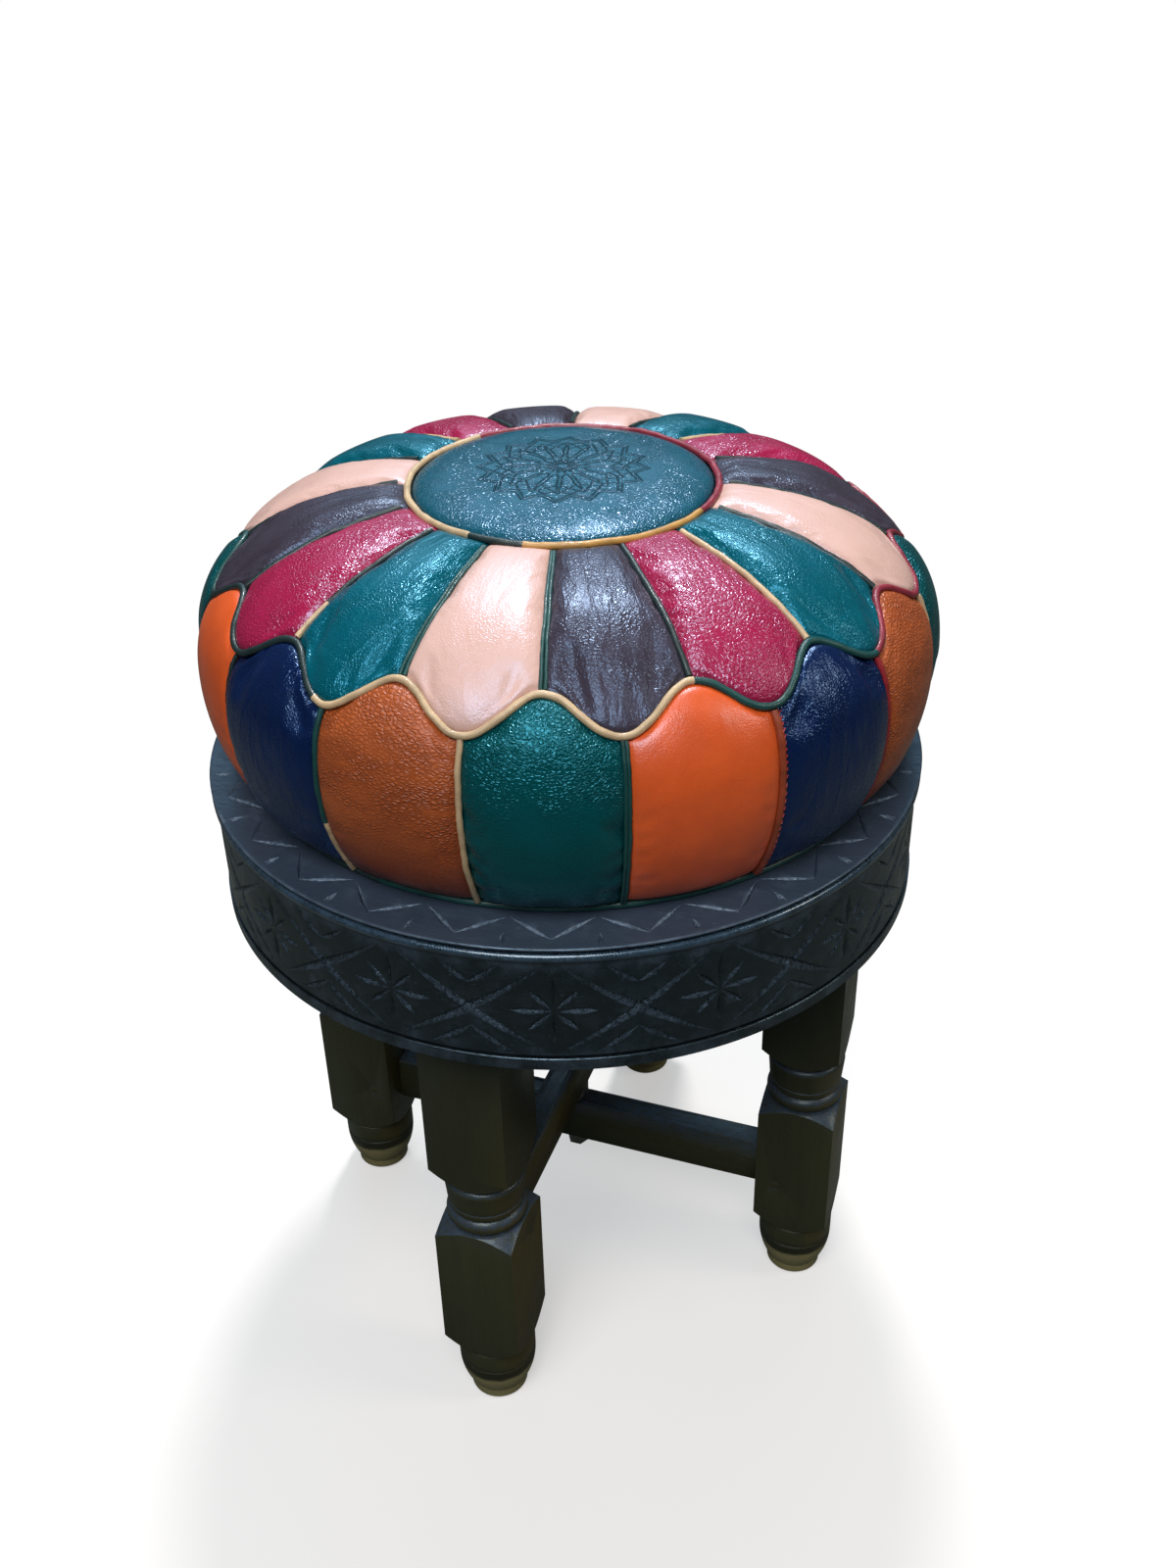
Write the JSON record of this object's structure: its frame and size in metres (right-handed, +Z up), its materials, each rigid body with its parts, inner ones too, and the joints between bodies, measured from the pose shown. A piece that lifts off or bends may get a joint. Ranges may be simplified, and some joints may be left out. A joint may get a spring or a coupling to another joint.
{
  "type": "folding low table",
  "caption": "Round carved black side table on two turned leg frames that fold about a central pivot, with a lift-off hooped top and a patchwork leather pouf.",
  "frame": {"origin": "centre of the table on the floor, under the pivot of the leg frames", "axes": "+Z up; the front leg stands at -Y, the right leg at +X"},
  "size_m": [0.42, 0.4271, 0.5613],
  "materials": {
    "black_wood": "near-black stained and waxed hardwood, worn at the arrises",
    "carved_black_wood": "near-black stained and waxed hardwood, chip-carved",
    "peg_wood": "dark stained dowel end grain",
    "pivot_steel": "zinc-plated steel, dulled",
    "zip_tape": "woven zip tape with a coil",
    "cotton_stuffing": "cotton wadding in a calico bag",
    "leather_peach": "glossy smooth-grained leather, pale peach",
    "leather_taupe": "glossy creased leather, grey brown",
    "leather_maroon": "glossy pebbled leather, rose maroon",
    "leather_teal": "glossy grained leather, dark teal green",
    "leather_orange": "semi-gloss leather, burnt orange",
    "leather_navy": "semi-gloss leather, navy blue",
    "leather_tan": "semi-gloss grained leather, reddish tan",
    "leather_medallion": "embossed glossy leather, blue teal",
    "piping_beige": "leather piping, beige",
    "piping_teal": "leather piping, dark teal",
    "piping_maroon": "leather piping, maroon",
    "piping_mustard": "leather piping, mustard",
    "piping_rust": "leather piping, rust"
  },
  "bodies": {
    "front_frame": {"leg_front": "black_wood", "leg_back": "black_wood", "front_back_stretcher": "black_wood", "front_back_rail": "black_wood", "front_frame_pegs": "peg_wood", "lower_pivot_bolt": "pivot_steel", "upper_pivot_bolt": "pivot_steel", "pivot_nuts": "pivot_steel", "pivot_washers": "pivot_steel", "pivot_spacer": "pivot_steel"},
    "side_frame": {"leg_left": "black_wood", "leg_right": "black_wood", "left_right_stretcher": "black_wood", "left_right_rail": "black_wood", "side_frame_pegs": "peg_wood"},
    "tabletop": {"top_board": "carved_black_wood", "apron_hoop": "carved_black_wood"},
    "pouf": {"stuffing": "cotton_stuffing", "medallion": "leather_medallion", "base_panel": "leather_taupe", "base_zip": "zip_tape", "medallion_piping": "piping_beige", "petal_piping": "piping_teal", "scallop_piping": "piping_beige", "side_piping": "piping_beige", "base_piping": "piping_teal", "petal_1": "leather_peach", "petal_2": "leather_taupe", "petal_3": "leather_maroon", "petal_4": "leather_teal", "petal_5": "leather_peach", "petal_6": "leather_taupe", "petal_7": "leather_maroon", "petal_8": "leather_teal", "petal_9": "leather_peach", "petal_10": "leather_taupe", "petal_11": "leather_maroon", "petal_12": "leather_teal", "petal_13": "leather_peach", "petal_14": "leather_taupe", "petal_15": "leather_maroon", "petal_16": "leather_teal", "side_panel_1": "leather_teal", "side_panel_2": "leather_orange", "side_panel_3": "leather_navy", "side_panel_4": "leather_tan", "side_panel_5": "leather_teal", "side_panel_6": "leather_orange", "side_panel_7": "leather_navy", "side_panel_8": "leather_tan", "side_panel_9": "leather_teal", "side_panel_10": "leather_orange", "side_panel_11": "leather_navy", "side_panel_12": "leather_tan", "side_panel_13": "leather_teal", "side_panel_14": "leather_orange", "side_panel_15": "leather_navy", "side_panel_16": "leather_tan"}
  },
  "joints": [
    {"name": "frame_fold", "type": "hinge", "parent": "front_frame", "child": "side_frame", "pos_m": [0, 0, 0.0895], "axis": [0, 0, 1], "range_deg": [-67, 67]},
    {"name": "top_lift", "type": "slide", "parent": "front_frame", "child": "tabletop", "axis": [0, 0, 1], "range_m": [0, 0.12]},
    {"name": "pouf_lift", "type": "slide", "parent": "tabletop", "child": "pouf", "axis": [0, 0, 1], "range_m": [0, 0.15]}
  ]
}
